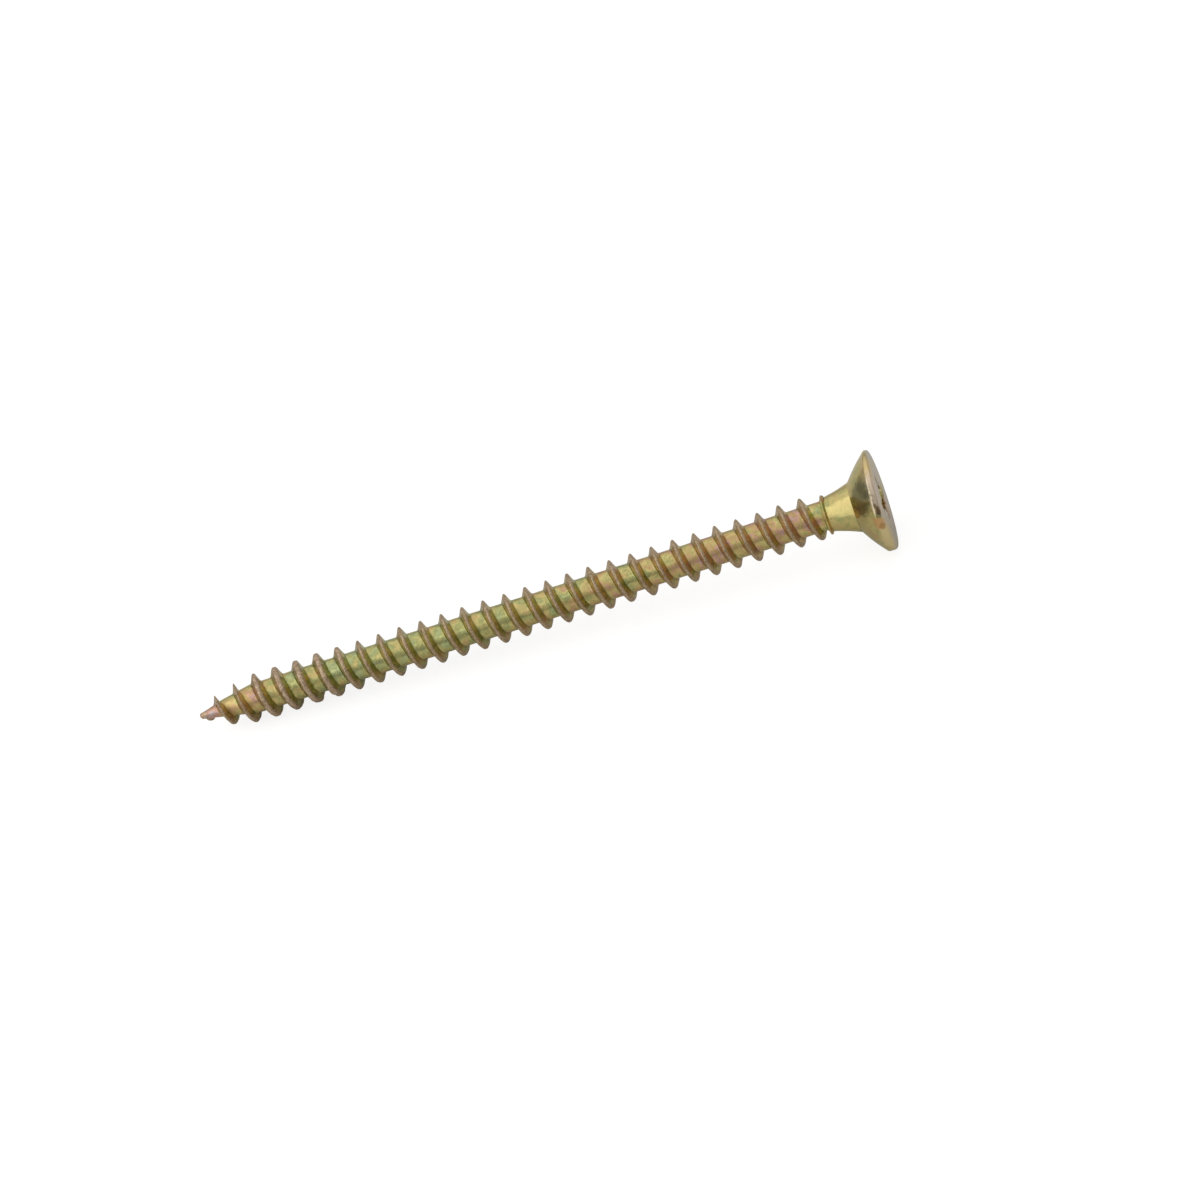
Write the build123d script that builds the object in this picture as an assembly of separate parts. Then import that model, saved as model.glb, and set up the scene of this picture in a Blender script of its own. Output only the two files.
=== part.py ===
from build123d import *

import os
from math import atan2, cos, degrees, radians, tan

# A countersunk wood screw, cold formed from one piece of steel wire and threaded over its whole shank.
# The screw is built upright with its head face at height 0 and its point below, then laid along X.
# In the finished frame the head face is at X = 0 and faces +X, and the point is at X = -overall_length.
# Millimetres and degrees throughout.  An angle around the axis is counted from +Y towards +Z.

# Overall sizes
overall_length = 60.0
head_diameter = 8.6
core_diameter = 2.5
thread_diameter = 3.95
thread_pitch = 1.85

# Head
head_height = 2.4          # face to the crease where the countersink meets the neck
crease_diameter = 4.3      # at that crease
rim_height = 0.4           # face to the sharp corner of rim and countersink
rim_face_radius = 0.2      # rounding between the rim and the face
rim_seat_radius = 0.3      # rounding between the rim and the countersink
seat_hollow = 0.07         # how far the countersink sags inside a straight cone

# Cross recess, type Z, size 2
recess_span = 4.4          # wing tip to wing tip at the face
recess_wing_width = 0.95   # at the face
recess_wing_draft = 3.0    # each side of a wing leans in by this
recess_wing_taper = 26.5   # the wing tips lean in by this
recess_wing_depth = 1.55
recess_depth = 2.2         # face to the bottom of the pilot hole
recess_pilot_diameter = 2.3
recess_pilot_end_diameter = 0.5
recess_notch_span = 3.0    # the four small notches between the wings, corner to corner
recess_notch_width = 0.3
recess_angle = 73.0        # of the first wing around the axis

# Neck between the thread and the head, with the low ring the thread runs out into
neck_length = 2.15         # crease to the ring
neck_step = 0.22           # how far the neck stands out from the core just above the ring
ring_height = 0.44         # how far the ring's crest stands out from the core
ring_width = 0.46
ring_land = 0.16           # width of the ring's crest

# Gimlet point
point_length = 4.9
nose_diameter = 0.6        # the core's width at the very tip
nose_radius = 0.25

# Thread
thread_flank_angle = 25.0  # each flank against the axis' normal
thread_crest_width = 0.14
thread_end_gap = 0.73      # ring to the middle of the crest where its full height ends
thread_end_angle = 200.0   # of that place around the axis
thread_start_gap = 0.45    # tip to the middle of the crest where the thread begins
thread_start_height = 0.03
thread_knee_gap = 1.7      # tip to the place where the steep first part of the ramp ends
thread_knee_height = 0.59
run_out_turns = 0.64       # the thread sinks below the ring's crest within this many turns

# Derived sizes
core_radius = core_diameter / 2
crest_radius = thread_diameter / 2
neck_root_radius = core_radius + neck_step
ring_radius = core_radius + ring_height
ring_top = -head_height - neck_length
ring_bottom = ring_top - ring_width
thread_end = ring_bottom - thread_end_gap
tip = -overall_length
shoulder = tip + point_length
point_slope = (core_diameter - nose_diameter) / 2 / point_length
crest_half = thread_crest_width / 2
flank = tan(radians(thread_flank_angle))
full_base_half = crest_half + (crest_radius - core_radius) * flank
ring_middle = ring_bottom + ring_width / 2
QUARTER_TURN = 90.0        # from an angle around X in the finished frame to one around Z while upright
LAY_DOWN = Rot(0, 90, 0)
HANGING = (Align.CENTER, Align.CENTER, Align.MAX)
STANDING = (Align.CENTER, Align.CENTER, Align.MIN)


def at(radius, height):
    """A point of an outline."""
    return Vector(radius, height)


def turned(profile):
    """A solid of revolution around Z from a flat profile whose first coordinate is the radius."""
    return revolve(Plane.XZ * profile, Axis.Z)


def rounded(profile, corner, radius):
    """The profile with the corner nearest a point rounded off."""
    return fillet(profile.vertices().sort_by_distance(corner)[0], radius)


def tapered_slot(span, width, span_lean, width_lean):
    """A slot along X, sunk from the face to the wings' depth, with its ends and sides leaning in."""
    shorter = span - 2 * recess_wing_depth * tan(radians(span_lean))
    narrower = width - 2 * recess_wing_depth * tan(radians(width_lean))
    mouth = Rectangle(span, width)
    floor = Pos(0, 0, -recess_wing_depth) * Rectangle(shorter, narrower)
    return loft([mouth, floor])


def make_recess():
    """The space of the cross recess: two crossing wings, a pilot hole and four small notches."""
    wing = tapered_slot(recess_span, recess_wing_width, recess_wing_taper, recess_wing_draft)
    notch = tapered_slot(recess_notch_span, recess_notch_width, recess_wing_draft, 0)
    pilot_radius = recess_pilot_diameter / 2
    pilot_end_radius = recess_pilot_end_diameter / 2
    end_length = recess_depth - recess_wing_depth
    pilot_end = Cone(pilot_end_radius, pilot_radius, end_length, align=HANGING)
    space = wing + Rot(0, 0, 90) * wing
    space += Rot(0, 0, 45) * notch + Rot(0, 0, 135) * notch
    space += Cylinder(pilot_radius, recess_wing_depth, align=HANGING)
    space += Pos(0, 0, -recess_wing_depth) * pilot_end
    return Rot(0, 0, recess_angle + QUARTER_TURN) * space


def make_head(recess):
    """The countersunk head, from its face to the crease, with the recess cut into it."""
    centre = at(0, 0)
    edge = at(head_diameter / 2, 0)
    corner = at(head_diameter / 2, -rim_height)
    crease = at(crease_diameter / 2, -head_height)
    outward = (corner - crease).normalized().rotate(Axis.Z, -90)
    hollow = (crease + corner) / 2 - outward * seat_hollow
    outline = Polyline(centre, edge, corner)
    outline += ThreePointArc(corner, hollow, crease)
    outline += Polyline(crease, at(0, -head_height), centre)
    profile = rounded(make_face(outline), edge, rim_face_radius)
    profile = rounded(profile, corner, rim_seat_radius)
    return turned(profile) - recess


def make_neck(recess):
    """The plain cone under the head, with the low ring at its foot."""
    outline = Polyline(
        at(0, ring_bottom),
        at(core_radius, ring_bottom),
        at(ring_radius, ring_middle - ring_land / 2),
        at(ring_radius, ring_middle + ring_land / 2),
        at(neck_root_radius, ring_top),
        at(crease_diameter / 2, -head_height),
        at(0, -head_height),
        close=True,
    )
    return turned(make_face(outline)) - recess


def make_shank_core():
    """The plain cylinder the thread winds round."""
    return Pos(0, 0, ring_bottom) * Cylinder(core_radius, ring_bottom - shoulder, align=HANGING)


def make_point():
    """The tapered core of the gimlet point, with its blunt nose."""
    nose = at(nose_diameter / 2, tip)
    outline = Polyline(at(0, tip), nose, at(core_radius, shoulder), at(0, shoulder), close=True)
    return turned(rounded(make_face(outline), nose, nose_radius))


def core_surface_radius(height):
    """The core's radius at a height, on the point's cone or on the cylinder."""
    if height >= shoulder:
        return core_radius
    return nose_diameter / 2 + (height - tip) * point_slope


def flank_foot(middle, crest, side):
    """The height where one flank meets the core.  The side is +1 towards the head, -1 towards the tip."""
    on_cylinder = middle + side * (crest_half + (crest - core_radius) * flank)
    if on_cylinder >= shoulder - 1e-9:
        return on_cylinder
    rise = crest - nose_diameter / 2 + tip * point_slope
    return (middle + side * (crest_half + rise * flank)) / (1 + side * point_slope * flank)


def thread_section(middle, crest):
    """One cross-section of the thread: its angle and its four corners as height and radius."""
    angle = thread_end_angle + (middle - thread_end) / thread_pitch * 360
    foot_low = flank_foot(middle, crest, -1)
    foot_high = flank_foot(middle, crest, 1)
    corners = [
        (foot_low, core_surface_radius(foot_low)),
        (middle - crest_half, crest),
        (middle + crest_half, crest),
        (foot_high, core_surface_radius(foot_high)),
    ]
    return angle + QUARTER_TURN, corners


def thread_sections():
    """The cross-sections where the thread's shape or its seat on the core changes, tip to head."""
    start = tip + thread_start_gap
    knee = tip + thread_knee_gap
    straight_start = shoulder + full_base_half
    turns = round((thread_end - straight_start) / thread_pitch)
    run_out = run_out_turns * thread_pitch
    sink = (crest_radius - ring_radius) / (ring_middle - thread_end)
    sections = [
        thread_section(start, core_surface_radius(start) + thread_start_height),
        thread_section(knee, core_surface_radius(knee) + thread_knee_height),
        thread_section(shoulder - full_base_half, crest_radius),
    ]
    for turn in range(turns + 1):
        middle = straight_start + (thread_end - straight_start) * turn / turns
        sections.append(thread_section(middle, crest_radius))
    sections.append(thread_section(thread_end + run_out, crest_radius - sink * run_out))
    return sections


def helix_between(angle_a, corner_a, angle_b, corner_b):
    """The helix, on a cylinder or a cone, that joins two corners of neighbouring cross-sections."""
    rise = corner_b[0] - corner_a[0]
    lean = atan2(corner_b[1] - corner_a[1], rise)
    turns = (angle_b - angle_a) / 360
    helix = Edge.make_helix(
        pitch=rise / turns / cos(lean), height=rise, radius=corner_a[1], angle=degrees(lean)
    )
    return helix.moved(Location((0, 0, corner_a[0]), (0, 0, angle_a)))


def section_face(angle, corners):
    """The flat end of the thread at one cross-section."""
    points = [Vector(radius, 0, height).rotate(Axis.Z, angle) for height, radius in corners]
    return Face(Wire.make_polygon(points, close=True))


def make_thread(neck, shank_core, point):
    """The helical rib, cut to sit on the core, ending where it runs into the neck's ring."""
    sections = thread_sections()
    faces = [section_face(*sections[0]), section_face(*sections[-1])]
    for (angle_a, corners_a), (angle_b, corners_b) in zip(sections, sections[1:]):
        pairs = zip(corners_a, corners_b)
        helices = [helix_between(angle_a, a, angle_b, b) for a, b in pairs]
        for this, following in zip(helices, helices[1:] + helices[:1]):
            faces.append(Face.make_surface_from_curves(this, following))
    rib = Solid(Shell(faces))
    beyond_ring = Pos(0, 0, ring_middle) * Cylinder(head_diameter, -ring_middle, align=STANDING)
    return rib - beyond_ring - neck - shank_core - point


recess = make_recess()
neck = make_neck(recess)
shank_core = make_shank_core()
point = make_point()
parts = {
    "head": make_head(recess),
    "neck": neck,
    "shank_core": shank_core,
    "point": point,
    "thread": make_thread(neck, shank_core, point),
}

os.makedirs("parts", exist_ok=True)
for name, shape in parts.items():
    laid = LAY_DOWN * shape
    export_step(laid, f"parts/{name}.step")
    box = laid.bounding_box()
    print(f"{name}: volume {laid.volume:.3f}, X {box.min.X:.3f} to {box.max.X:.3f}")
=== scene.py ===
import logging
from collections.abc import Callable
from dataclasses import dataclass, field
from enum import Enum
from math import atan2, cos, exp, pi, radians, sin, sqrt, tan, tau

import bmesh
import bpy
from bmesh.types import BMEdge, BMesh, BMVert
from bpy.types import Material, Node, NodeSocket, NodeTree, Object, World
from mathutils import Matrix, Vector, noise


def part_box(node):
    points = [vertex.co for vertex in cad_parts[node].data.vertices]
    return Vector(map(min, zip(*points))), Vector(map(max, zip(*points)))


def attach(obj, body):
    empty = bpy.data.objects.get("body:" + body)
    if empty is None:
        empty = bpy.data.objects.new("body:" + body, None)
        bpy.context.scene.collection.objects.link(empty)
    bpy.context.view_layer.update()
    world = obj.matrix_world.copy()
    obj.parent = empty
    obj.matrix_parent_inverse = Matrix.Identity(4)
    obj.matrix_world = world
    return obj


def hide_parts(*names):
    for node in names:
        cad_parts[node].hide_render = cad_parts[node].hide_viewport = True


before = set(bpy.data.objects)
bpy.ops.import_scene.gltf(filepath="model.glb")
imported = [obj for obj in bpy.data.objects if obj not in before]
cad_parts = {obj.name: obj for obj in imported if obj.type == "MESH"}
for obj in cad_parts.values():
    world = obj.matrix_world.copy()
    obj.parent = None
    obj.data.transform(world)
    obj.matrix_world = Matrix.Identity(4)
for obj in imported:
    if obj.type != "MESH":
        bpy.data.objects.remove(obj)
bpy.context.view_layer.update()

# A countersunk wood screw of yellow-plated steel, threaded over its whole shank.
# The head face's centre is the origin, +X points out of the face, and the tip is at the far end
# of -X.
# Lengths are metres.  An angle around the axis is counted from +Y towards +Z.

Triple = tuple[float, float, float]  # a point's coordinates or a colour's channels

LOG = logging.getLogger("wood_screw")
MM = 0.001
WELD = 0.0004 * MM
SHARP = radians(40)
SET_BACK = 0.03 * MM  # the ring sits this much further from the face than nominal


class Slot(Enum):
    """Material slots of the record that the finished pieces belong to."""

    HEAD = "plated_head"
    NECK = "plated_neck"
    THREAD = "plated_thread"


class Socket(Enum):
    """Kinds of socket on a node group's face."""

    COLOUR = "NodeSocketColor"
    VALUE = "NodeSocketFloat"
    VECTOR = "NodeSocketVector"


# ---------------------------------------------------------------- small helpers


def smooth_step(low: float, high: float, value: float) -> float:
    """Rises from 0 to 1 between two values with soft ends.

    Args:
        low: where the rise starts.
        high: where it is complete.
        value: the place asked about.

    Returns:
        The share of the rise, 0 to 1.
    """
    share = min(max((value - low) / (high - low), 0.0), 1.0)
    return share * share * (3 - 2 * share)


def soft_max(first: float, second: float, width: float) -> float:
    """The larger of two values, with a fillet where they cross.

    Args:
        first: one value.
        second: the other value.
        width: how near the two values are where the fillet begins.

    Returns:
        The blended larger value.
    """
    near = max(width - abs(first - second), 0.0) / width
    return max(first, second) + near * near * width / 4


def soft_min(first: float, second: float, width: float) -> float:
    """The smaller of two values, with a rounding where they cross."""
    return -soft_max(-first, -second, width)


@dataclass(frozen=True)
class Ripple:
    """Smooth unevenness on a surface around the screw's axis.

    The pitch is the size of one bump along the axis.  The reach sets how many bumps go round, as
    the radius of the circle that is sampled, and the seed picks one of many patterns.
    """

    pitch: float
    reach: float
    seed: float
    height: float = 1.0

    def at(self, along: float, angle: float) -> float:
        """The unevenness at one place.

        Args:
            along: distance along the axis.
            angle: angle around the axis.

        Returns:
            A value between about -1 and 1, times the height.
        """
        around = self.reach * cos(angle), self.reach * sin(angle)
        return self.height * noise.noise(Vector((along / self.pitch + self.seed, *around)))


def link_mesh(mesh: BMesh, name: str) -> Object:
    """Writes a bmesh into a new object of that name, at the origin, and frees the bmesh."""
    data = bpy.data.meshes.new(name)
    mesh.to_mesh(data)
    mesh.free()
    made = bpy.data.objects.new(name, data)
    bpy.context.scene.collection.objects.link(made)
    return made


def cut_across(mesh: BMesh, place: float, side: int = 1, clear: bool = False) -> None:
    """Cuts a mesh at a place along the axis.

    Args:
        mesh: the mesh.
        place: where the cut is.
        side: the cut's outer side, towards the head with 1 and towards the tip with -1.
        clear: whether what lies on the outer side goes.
    """
    bmesh.ops.bisect_plane(
        mesh,
        geom=mesh.verts[:] + mesh.edges[:] + mesh.faces[:],
        dist=WELD,
        plane_co=(place, 0, 0),
        plane_no=(side, 0, 0),
        clear_outer=clear,
    )


def finish_piece(mesh: BMesh, name: str, sharp: float = SHARP) -> Object:
    """Turns a finished bmesh into a shaded piece at the origin.

    Args:
        mesh: the shape, already in place.
        name: the piece's name.
        sharp: edges bent by more than this stay crisp.

    Returns:
        The linked object.
    """
    bmesh.ops.recalc_face_normals(mesh, faces=mesh.faces[:])
    for face in mesh.faces:
        face.smooth = True
    for edge in mesh.edges:
        if len(edge.link_faces) == 2:
            edge.smooth = edge.calc_face_angle(0.0) < sharp
    return link_mesh(mesh, name)


class RingSkin:
    """A skin grown ring by ring around the screw's axis."""

    def __init__(self, spokes: int) -> None:
        """Starts the skin with one ring.

        Args:
            spokes: points in every ring.
        """
        self.mesh: BMesh = bmesh.new()
        self.spokes = spokes
        self.spoke_of = self.mesh.verts.layers.int.new("spoke")
        made = bmesh.ops.create_circle(self.mesh, cap_ends=False, segments=spokes, radius=1.0)
        self.verts: list[BMVert] = made["verts"]
        for vert in self.verts:
            turn = atan2(vert.co.y, vert.co.x) % tau
            vert[self.spoke_of] = round(turn / tau * spokes) % spokes
        self.edges: list[BMEdge] = list({edge for vert in self.verts for edge in vert.link_edges})

    def place(self, where: Callable[[int], Triple]) -> None:
        """Moves the newest ring.

        Args:
            where: gives x, y and z for a spoke number.
        """
        for vert in self.verts:
            vert.co = Vector(where(vert[self.spoke_of]))

    def grow(self, where: Callable[[int], Triple]) -> list[BMEdge]:
        """Extrudes the newest ring and moves the new one into place.

        Args:
            where: gives x, y and z for a spoke number.

        Returns:
            The new ring's edges.
        """
        made = bmesh.ops.extrude_edge_only(self.mesh, edges=self.edges)["geom"]
        self.verts = [part for part in made if isinstance(part, BMVert)]
        fresh = set(self.verts)
        self.edges = [
            part for part in made if isinstance(part, BMEdge) and fresh.issuperset(part.verts)
        ]
        self.place(where)
        return self.edges

    def round_ring(self, along: float, radius: float) -> list[BMEdge]:
        """Grows a plain round ring at a place along the axis."""
        return self.grow(lambda spoke: self.on_circle(along, radius, spoke))

    def on_circle(self, along: float, radius: float, spoke: int) -> Triple:
        """A spoke's point on a circle around the axis."""
        angle = tau * spoke / self.spokes
        return along, radius * cos(angle), radius * sin(angle)

    def close(self) -> None:
        """Draws the newest ring together into one pole."""
        middle = sum((vert.co for vert in self.verts), Vector()) / len(self.verts)
        bmesh.ops.pointmerge(self.mesh, verts=self.verts, merge_co=middle)


# ---------------------------------------------------------------- materials


class Graph:
    """A short way to write a node tree."""

    def __init__(self, tree: NodeTree) -> None:
        """Keeps the tree that the nodes go into."""
        self.tree = tree

    def node(self, kind: str, inputs: dict | None = None, **settings: object) -> Node:
        """Adds one node.

        Args:
            kind: the node's type name, without its ShaderNode prefix.
            inputs: values or output sockets for its inputs, by name or number.
            settings: the node's own properties.

        Returns:
            The new node.
        """
        made = self.tree.nodes.new("ShaderNode" + kind)
        for name, value in settings.items():
            setattr(made, name, value)
        for name, value in (inputs or {}).items():
            self.feed(made.inputs[name], value)
        return made

    def feed(self, socket: NodeSocket, value: object) -> None:
        """Sets an input socket to a value, or links an output socket to it."""
        if isinstance(value, NodeSocket):
            self.tree.links.new(value, socket)
        else:
            socket.default_value = value

    def give(self, end: Node, **outputs: NodeSocket) -> NodeTree:
        """Feeds a group's output node by the names of its sockets, and returns the whole tree."""
        for name, value in outputs.items():
            self.feed(end.inputs[name], value)
        return self.tree

    def group(self, effect: NodeTree, inputs: dict) -> Node:
        """Places a node group, with values or output sockets for its inputs."""
        return self.node("Group", inputs, node_tree=effect)

    def noise(
        self, vector: NodeSocket, scale: float, detail: float = 2.0, rough: float = 0.5
    ) -> NodeSocket:
        """Soft noise as one value, with its scale in bumps to the millimetre."""
        made = self.node(
            "TexNoise",
            {"Vector": vector, "Scale": scale, "Detail": detail, "Roughness": rough},
        )
        return made.outputs["Fac"]

    def math(self, operation: str, *values: object) -> NodeSocket:
        """One step of arithmetic."""
        made = self.node("Math", dict(enumerate(values)), operation=operation)
        return made.outputs[0]

    def range(
        self, value: NodeSocket, low: float, high: float, start: float, end: float
    ) -> NodeSocket:
        """Maps a value from one range to another, softly and without overshoot."""
        made = self.node(
            "MapRange",
            {0: value, 1: low, 2: high, 3: start, 4: end},
            interpolation_type="SMOOTHSTEP",
        )
        return made.outputs[0]

    def mix(
        self, share: object, first: object, second: object, blend: str = "MIX"
    ) -> NodeSocket:
        """Mixes two colours."""
        colours = {0: share, 6: first, 7: second}  # the node's factor and its two colour inputs
        made = self.node("Mix", colours, data_type="RGBA", blend_type=blend)
        return made.outputs[2]

    def ramp(
        self, value: NodeSocket, stops: list[tuple[float, tuple[float, ...]]]
    ) -> NodeSocket:
        """A run of colours.

        Args:
            value: the place in the run, 0 to 1.
            stops: places and their colours, in order.

        Returns:
            The colour socket.
        """
        made = self.node("ValToRGB", {"Fac": value})
        made.color_ramp.interpolation = "EASE"
        marks = made.color_ramp.elements
        while len(marks) < len(stops):
            marks.new(0.5)
        for mark, (place, colour) in zip(marks, stops):
            mark.position = place
            mark.color = (*colour, 1.0)
        return made.outputs["Color"]


def start_group(
    name: str, takes: dict[str, Socket], gives: dict[str, Socket]
) -> tuple[Graph, Node, Node]:
    """Makes an empty shader node group with named sockets.

    Args:
        name: the group's name.
        takes: its inputs.
        gives: its outputs.

    Returns:
        Its graph, its input node and its output node.
    """
    tree = bpy.data.node_groups.new(name, "ShaderNodeTree")
    for direction, sockets in (("INPUT", takes), ("OUTPUT", gives)):
        for label, kind in sockets.items():
            tree.interface.new_socket(name=label, in_out=direction, socket_type=kind.value)
    return Graph(tree), tree.nodes.new("NodeGroupInput"), tree.nodes.new("NodeGroupOutput")


def fresh_graph(owner: Material | World) -> Graph:
    """Empties a material's or a world's node tree and opens it for writing."""
    owner.use_nodes = True
    owner.node_tree.nodes.clear()
    return Graph(owner.node_tree)


@dataclass(frozen=True)
class PlatingHues:
    """Cloudy tints of a yellow passivated zinc layer: sage, olive, gold, amber, rose and lilac."""

    sage: Triple = (0.57, 0.62, 0.29)
    olive: Triple = (0.57, 0.56, 0.22)
    gold: Triple = (0.74, 0.62, 0.25)
    amber: Triple = (0.72, 0.50, 0.22)
    rose: Triple = (0.70, 0.42, 0.31)
    lilac: Triple = (0.62, 0.50, 0.48)
    cloud: float = 0.75
    speck: float = 4.5

    def build(self) -> NodeTree:
        """Builds the group.

        Returns:
            The group, which takes a position in millimetres, how warm the tint is and how strongly
            it varies, and gives a colour, a tone and a height.
        """
        graph, start, end = start_group(
            "plating_hues",
            {"Position": Socket.VECTOR, "Warmth": Socket.VALUE, "Contrast": Socket.VALUE},
            {"Color": Socket.COLOUR, "Tone": Socket.VALUE, "Height": Socket.VALUE},
        )
        place = start.outputs["Position"]
        cloud = graph.noise(place, self.cloud, 2.0, 0.55)
        patch = graph.noise(place, self.cloud * 2.4, 2.0, 0.6)
        speck = graph.noise(place, self.speck, 2.0, 0.6)
        spread = graph.math("MULTIPLY_ADD", cloud, 1.6, graph.math("MULTIPLY", patch, 0.8))
        spread = graph.math("MULTIPLY_ADD", speck, 0.2, spread)
        spread = graph.math("SUBTRACT", spread, 1.30)
        contrast = start.outputs["Contrast"]
        tint = graph.math("MULTIPLY_ADD", spread, contrast, start.outputs["Warmth"])
        tints = (self.sage, self.olive, self.gold, self.amber, self.rose, self.lilac)
        colour = graph.ramp(tint, list(zip((0.05, 0.25, 0.45, 0.62, 0.80, 1.00), tints)))
        fine = graph.noise(place, self.speck * 3, 2.0, 0.6)
        mottle = graph.math("ADD", graph.math("ADD", speck, fine), patch)
        shade = graph.range(mottle, 1.15, 1.75, -0.22, 0.10)
        shade = graph.math("MULTIPLY_ADD", shade, contrast, 0.96)
        grey = graph.node("CombineColor", {0: shade, 1: shade, 2: shade}).outputs[0]
        colour = graph.mix(1.0, colour, grey, "MULTIPLY")
        height = graph.math("MULTIPLY_ADD", patch, 1.2, graph.math("MULTIPLY", speck, 0.5))
        return graph.give(end, Color=colour, Tone=cloud, Height=height)


@dataclass(frozen=True)
class WarmthDrift:
    """How the layer's tint drifts from the point to the head, as it hung in the bath."""

    length: float
    stops: tuple[tuple[float, float], ...] = (
        (0.000, 0.92),
        (0.022, 0.80),
        (0.036, 0.56),
        (0.085, 0.54),
        (0.110, 0.34),
        (0.220, 0.22),
        (0.400, 0.32),
        (0.560, 0.42),
        (0.680, 0.54),
        (0.860, 0.60),
        (0.930, 0.44),
        (1.000, 0.42),
    )

    def build(self) -> NodeTree:
        """Builds the group.

        Returns:
            The group, which takes a position in millimetres and gives a warmth.
        """
        graph, start, end = start_group(
            "warmth_drift", {"Position": Socket.VECTOR}, {"Warmth": Socket.VALUE}
        )
        along = graph.node("SeparateXYZ", {0: start.outputs["Position"]}).outputs["X"]
        share = graph.math("MULTIPLY_ADD", along, MM / self.length, 1.0)
        greys = [(place, (warmth,) * 3) for place, warmth in self.stops]
        return graph.give(end, Warmth=graph.ramp(share, greys))


@dataclass(frozen=True)
class RibWearAndShade:
    """Dulled, slightly rosy metal on the thread's crest, and painted shade with a little brown
    grime in its roots and along the rolled seam.
    """

    crest: Triple = (0.75, 0.59, 0.39)
    pale: Triple = (0.76, 0.59, 0.42)
    pitted: Triple = (0.42, 0.29, 0.18)
    # painted shade colour for the dark line in the thread's roots and along the rolled seam
    groove_shade: Triple = (0.23, 0.19, 0.09)
    patch: float = 2.4
    grit: float = 8.0
    lump: float = 3.4

    def build(self) -> NodeTree:
        """Builds the group.

        Returns:
            The group, which takes a colour, masks and a position and gives a colour and a mask.
        """
        masks = dict.fromkeys(("Rib", "Root", "Seam", "Coarse"), Socket.VALUE)
        graph, start, end = start_group(
            "rib_wear_and_shade",
            {"Color": Socket.COLOUR, "Position": Socket.VECTOR, **masks},
            {"Color": Socket.COLOUR, "Worn": Socket.VALUE, "Height": Socket.VALUE},
        )
        place = start.outputs["Position"]
        patch = graph.noise(place, self.patch, 2.0, 0.6)
        grit = graph.noise(place, self.grit, 3.0, 0.7)
        lump = graph.noise(place, self.lump, 2.0, 0.6)
        edge = graph.range(start.outputs["Rib"], 0.42, 0.78, 0.0, 1.0)
        # the crest's wear mask; on the tip-side flank it also carries a painted highlight
        worn_and_lit = graph.math("MULTIPLY", edge, graph.range(patch, 0.2, 0.5, 0.75, 1.0))
        coarse = graph.math("MULTIPLY", start.outputs["Coarse"], edge)
        hollow = graph.math("MULTIPLY", graph.range(lump, 0.36, 0.52, 0.8, 0.0), coarse)
        clean = graph.mix(start.outputs["Coarse"], (*self.crest, 1.0), (*self.pale, 1.0))
        crest = graph.mix(graph.range(grit, 0.38, 0.60, 0.0, 1.0), (*self.pitted, 1.0), clean)
        crest = graph.mix(hollow, crest, (*self.pitted, 1.0))
        colour = graph.mix(worn_and_lit, start.outputs["Color"], crest)
        streaks = graph.range(grit, 0.3, 0.6, 0.25, 0.7), graph.range(patch, 0.3, 0.6, 0.1, 0.6)
        # the root and seam masks, streaked by noise, paint shade into the thread's roots and the
        # seam's groove
        groove_shade, seam = (
            graph.math("MULTIPLY", start.outputs[name], streak)
            for name, streak in zip(("Root", "Seam"), streaks)
        )
        dark = graph.math("MAXIMUM", groove_shade, seam)
        colour = graph.mix(dark, colour, (*self.groove_shade, 1.0))
        height = graph.math("MULTIPLY", graph.math("MULTIPLY", grit, 1.8), edge)
        height = graph.math("MULTIPLY_ADD", graph.math("MULTIPLY", lump, coarse), 4.0, height)
        return graph.give(end, Color=colour, Worn=worn_and_lit, Height=height)


@dataclass(frozen=True)
class SurfaceMark:
    """A coloured patch at one place on the surface, measured in millimetres, for stains and bruises
    and for painted shade.

    The squash says how much shorter it is along the axis than around it.
    """

    centre: Triple
    reach: float
    colour: Triple
    strength: float
    squash: float

    @staticmethod
    def build() -> NodeTree:
        """Builds the group that every such patch uses.

        Returns:
            The group, which takes a position, a centre, a reach, a strength and how much shorter
            the patch is along each axis, and gives a ragged mask.
        """
        vectors = dict.fromkeys(("Position", "Centre", "Squash"), Socket.VECTOR)
        values = dict.fromkeys(("Reach", "Strength"), Socket.VALUE)
        graph, start, end = start_group(
            "surface_mark", {**vectors, **values}, {"Mask": Socket.VALUE}
        )
        place = start.outputs["Position"]
        ragged = graph.noise(place, 2.5, 3.0, 0.65)
        offset = place
        for operation, name in (("SUBTRACT", "Centre"), ("MULTIPLY", "Squash")):
            operands = {0: offset, 1: start.outputs[name]}
            offset = graph.node("VectorMath", operands, operation=operation).outputs["Vector"]
        away = graph.node("VectorMath", {0: offset}, operation="LENGTH").outputs["Value"]
        share = graph.math("DIVIDE", away, start.outputs["Reach"])
        share = graph.math("ADD", share, graph.math("MULTIPLY_ADD", ragged, 1.2, -0.6))
        mask = graph.math(
            "MULTIPLY", graph.range(share, 0.55, 1.1, 1.0, 0.0), start.outputs["Strength"]
        )
        return graph.give(end, Mask=mask)


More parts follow.
